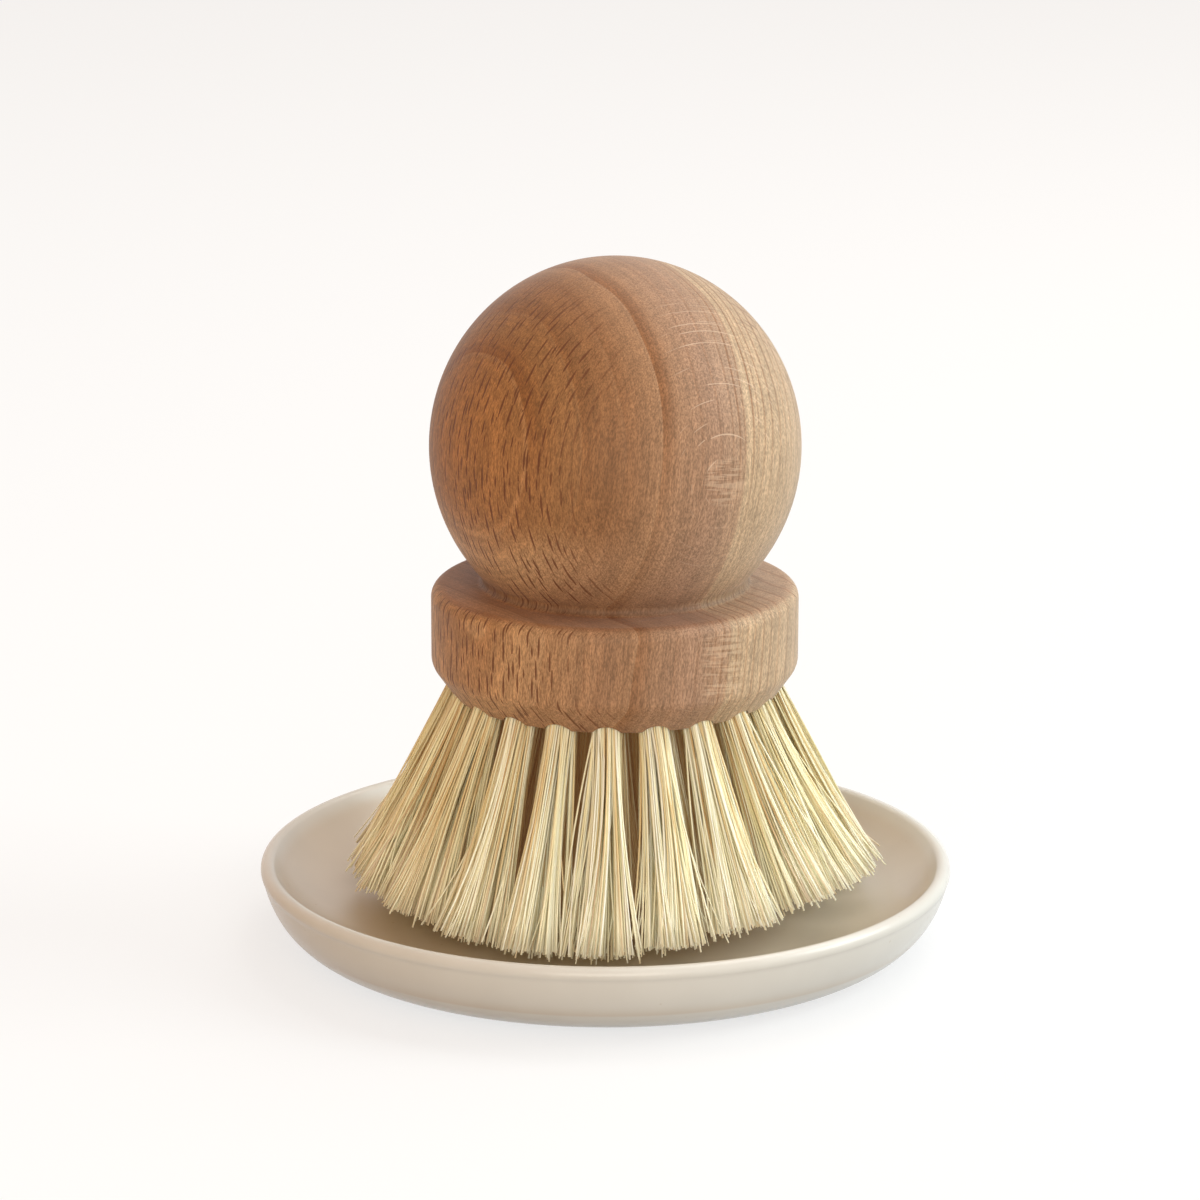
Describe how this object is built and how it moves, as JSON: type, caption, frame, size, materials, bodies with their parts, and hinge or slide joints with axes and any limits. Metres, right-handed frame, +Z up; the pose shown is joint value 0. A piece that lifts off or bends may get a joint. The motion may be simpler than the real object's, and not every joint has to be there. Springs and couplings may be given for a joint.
{
  "type": "pot brush with tray",
  "caption": "Pot-scrubbing brush with a turned ball handle on a drilled wooden disc, stiff plant-fibre tufts fanning out below it, standing in a round glazed ceramic tray.",
  "frame": {"origin": "centre of the tray's foot, on the surface that it stands on", "axes": "+Z up along the tray's axis and parallel to the brush's; -Y towards the side that the picture was taken from"},
  "size_m": [0.1016, 0.1016, 0.1011],
  "materials": {
    "beech": "bare turned beech, sanded, satin",
    "fibre": "stiff straw-coloured plant fibre, matt",
    "glaze": "cream glaze, soft gloss"
  },
  "bodies": {
    "tray": {"tray": "glaze"},
    "brush": {"handle": "beech", "tuft_outer_01": "fibre", "tuft_outer_02": "fibre", "tuft_outer_03": "fibre", "tuft_outer_04": "fibre", "tuft_outer_05": "fibre", "tuft_outer_06": "fibre", "tuft_outer_07": "fibre", "tuft_outer_08": "fibre", "tuft_outer_09": "fibre", "tuft_outer_10": "fibre", "tuft_outer_11": "fibre", "tuft_outer_12": "fibre", "tuft_outer_13": "fibre", "tuft_outer_14": "fibre", "tuft_outer_15": "fibre", "tuft_outer_16": "fibre", "tuft_outer_17": "fibre", "tuft_outer_18": "fibre", "tuft_outer_19": "fibre", "tuft_outer_20": "fibre", "tuft_outer_21": "fibre", "tuft_middle_01": "fibre", "tuft_middle_02": "fibre", "tuft_middle_03": "fibre", "tuft_middle_04": "fibre", "tuft_middle_05": "fibre", "tuft_middle_06": "fibre", "tuft_middle_07": "fibre", "tuft_middle_08": "fibre", "tuft_middle_09": "fibre", "tuft_middle_10": "fibre", "tuft_middle_11": "fibre", "tuft_middle_12": "fibre", "tuft_middle_13": "fibre", "tuft_middle_14": "fibre", "tuft_inner_01": "fibre", "tuft_inner_02": "fibre", "tuft_inner_03": "fibre", "tuft_inner_04": "fibre", "tuft_inner_05": "fibre", "tuft_inner_06": "fibre", "tuft_inner_07": "fibre", "tuft_centre_01": "fibre"}
  },
  "joints": [
    {"name": "brush_lift", "type": "slide", "parent": "tray", "child": "brush", "axis": [0, 0, 1], "range_m": [0, 0.1]}
  ]
}
